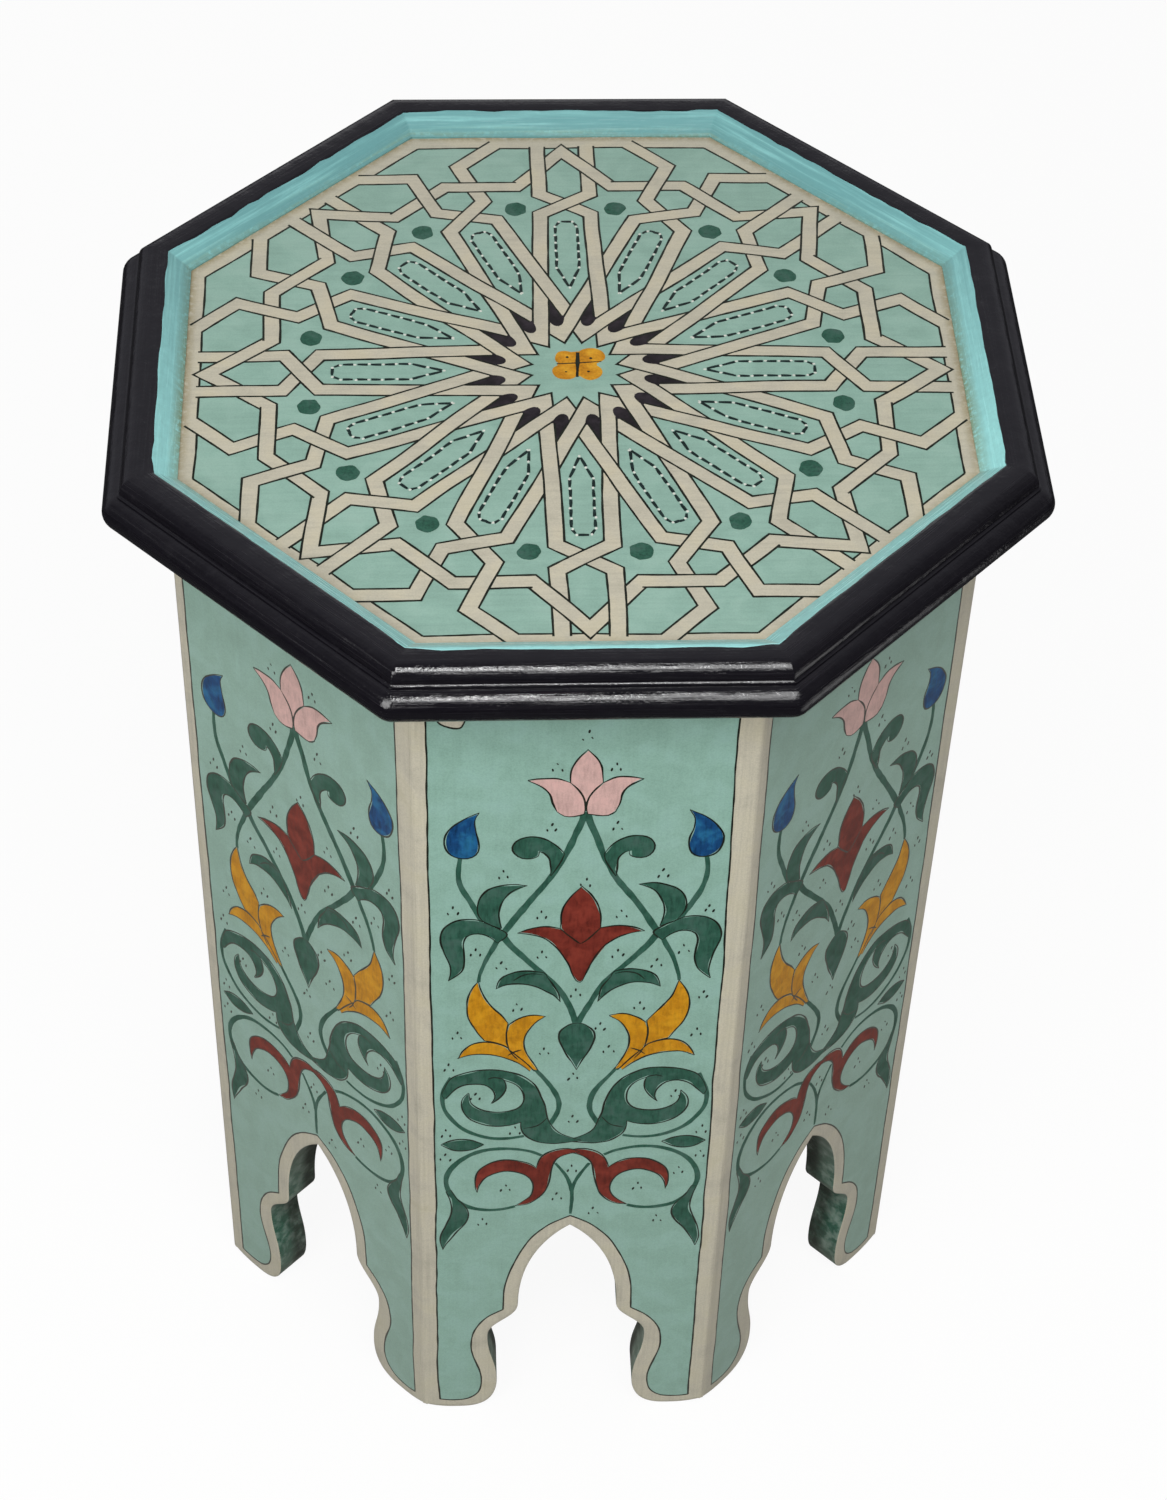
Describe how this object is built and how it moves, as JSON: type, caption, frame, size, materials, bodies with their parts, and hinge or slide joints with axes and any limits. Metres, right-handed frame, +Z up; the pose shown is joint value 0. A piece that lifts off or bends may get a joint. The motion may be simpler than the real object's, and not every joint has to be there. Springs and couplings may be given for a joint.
{
  "type": "octagonal side table",
  "caption": "Octagonal painted wooden kursi stool or side table with keel arches in its sides and a moulded black rim round the top.",
  "frame": {"origin": "on the floor, under the middle of the stool", "axes": "+Z up, -Y out of the front side board, +X to the right as seen from the front; +Z is the axis of the octagon"},
  "size_m": [0.381, 0.381, 0.533],
  "materials": {
    "painted_wood": "satin hand-painted mint green",
    "black_lacquer": "glossy black lacquer",
    "bare_wood": "bare sawn softwood",
    "steel": "plain bright steel"
  },
  "bodies": {
    "root": {"top_board": "painted_wood", "side_board_front": "painted_wood", "rim_moulding_front": "black_lacquer", "corner_block_front_to_front_right": "bare_wood", "top_pin_front": "steel", "rim_pin_front_a": "steel", "rim_pin_front_b": "steel", "side_board_front_right": "painted_wood", "rim_moulding_front_right": "black_lacquer", "corner_block_front_right_to_right": "bare_wood", "top_pin_front_right": "steel", "rim_pin_front_right_a": "steel", "rim_pin_front_right_b": "steel", "side_board_right": "painted_wood", "rim_moulding_right": "black_lacquer", "corner_block_right_to_back_right": "bare_wood", "top_pin_right": "steel", "rim_pin_right_a": "steel", "rim_pin_right_b": "steel", "side_board_back_right": "painted_wood", "rim_moulding_back_right": "black_lacquer", "corner_block_back_right_to_back": "bare_wood", "top_pin_back_right": "steel", "rim_pin_back_right_a": "steel", "rim_pin_back_right_b": "steel", "side_board_back": "painted_wood", "rim_moulding_back": "black_lacquer", "corner_block_back_to_back_left": "bare_wood", "top_pin_back": "steel", "rim_pin_back_a": "steel", "rim_pin_back_b": "steel", "side_board_back_left": "painted_wood", "rim_moulding_back_left": "black_lacquer", "corner_block_back_left_to_left": "bare_wood", "top_pin_back_left": "steel", "rim_pin_back_left_a": "steel", "rim_pin_back_left_b": "steel", "side_board_left": "painted_wood", "rim_moulding_left": "black_lacquer", "corner_block_left_to_front_left": "bare_wood", "top_pin_left": "steel", "rim_pin_left_a": "steel", "rim_pin_left_b": "steel", "side_board_front_left": "painted_wood", "rim_moulding_front_left": "black_lacquer", "corner_block_front_left_to_front": "bare_wood", "top_pin_front_left": "steel", "rim_pin_front_left_a": "steel", "rim_pin_front_left_b": "steel"}
  },
  "joints": []
}
